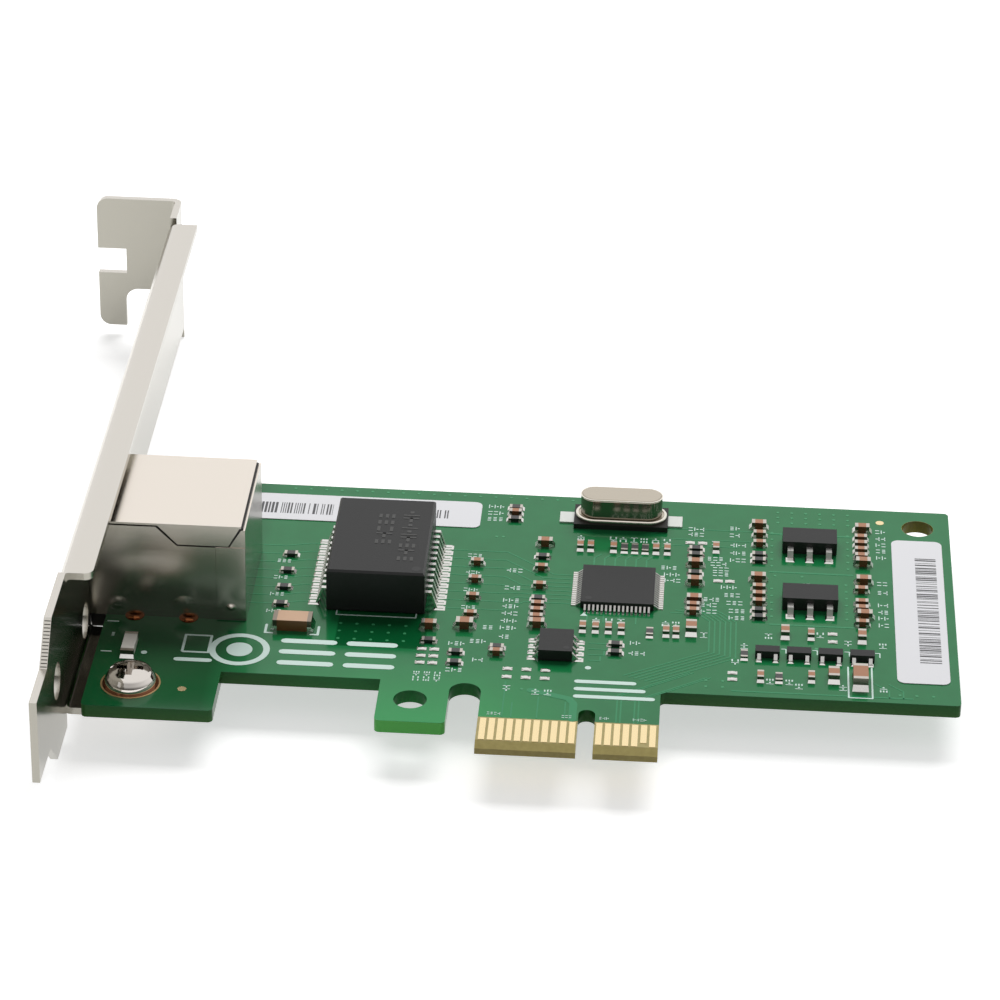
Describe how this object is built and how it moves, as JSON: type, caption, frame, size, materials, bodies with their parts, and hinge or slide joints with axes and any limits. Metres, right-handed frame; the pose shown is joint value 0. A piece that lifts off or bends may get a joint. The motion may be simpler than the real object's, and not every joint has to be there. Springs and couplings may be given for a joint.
{
  "type": "network interface card",
  "caption": "Low-profile circuit board with a card-edge connector, shielded modular network jack, chips and a folded full-height steel mounting bracket.",
  "frame": {"origin": "centre of the key notch at the card edge, in the middle of the board's thickness", "axes": "+X from the bracket to the far end of the card, +Y from the contact fingers to the back edge, +Z out of the component side"},
  "size_m": [0.1121, 0.12, 0.0199],
  "materials": {
    "solder_mask_green": "glossy green coating on glass laminate",
    "gold_plating": "polished gold plating",
    "nickel_plated_steel": "bright plated sheet steel",
    "screw_steel": "bright zinc plate",
    "tinned_copper": "satin tin plate",
    "shield_tinplate": "bright stamped sheet",
    "jack_black": "matt moulded",
    "package_epoxy": "fine matt moulded",
    "transformer_epoxy": "matt moulded",
    "crystal_steel": "drawn, bright",
    "crystal_base_plastic": "matt moulded",
    "capacitor_ceramic": "fired, satin",
    "isolation_ceramic": "fired, satin",
    "chassis_ceramic": "fired, satin",
    "resistor_glaze": "glazed film",
    "label_paper": "matt label stock"
  },
  "bodies": {
    "root": {"circuit_board": "solder_mask_green", "contact_fingers": "gold_plating", "mounting_bracket": "nickel_plated_steel", "bracket_screws": "screw_steel", "screw_rings": "tinned_copper", "shield_leg_pads": "tinned_copper", "jack_shield": "shield_tinplate", "jack_contacts": "gold_plating", "jack_housing": "jack_black", "magnetics_body": "transformer_epoxy", "magnetics_leads": "tinned_copper", "controller_body": "package_epoxy", "controller_leads": "tinned_copper", "memory_body": "package_epoxy", "memory_leads": "tinned_copper", "regulator_bodies": "package_epoxy", "regulator_leads": "tinned_copper", "transistor_bodies": "package_epoxy", "transistor_leads": "tinned_copper", "crystal_base": "crystal_base_plastic", "crystal_can": "crystal_steel", "crystal_tails": "tinned_copper", "small_capacitor_bodies": "capacitor_ceramic", "small_capacitor_ends": "tinned_copper", "medium_capacitor_bodies": "capacitor_ceramic", "medium_capacitor_ends": "tinned_copper", "large_capacitor_bodies": "capacitor_ceramic", "large_capacitor_ends": "tinned_copper", "bulk_capacitor_body": "capacitor_ceramic", "bulk_capacitor_ends": "tinned_copper", "resistor_bodies": "resistor_glaze", "resistor_ends": "tinned_copper", "isolation_capacitor_body": "isolation_ceramic", "isolation_capacitor_ends": "tinned_copper", "chassis_capacitor_body": "chassis_ceramic", "chassis_capacitor_ends": "tinned_copper", "solder_lands": "tinned_copper", "end_label": "label_paper", "back_label": "label_paper"}
  },
  "joints": []
}
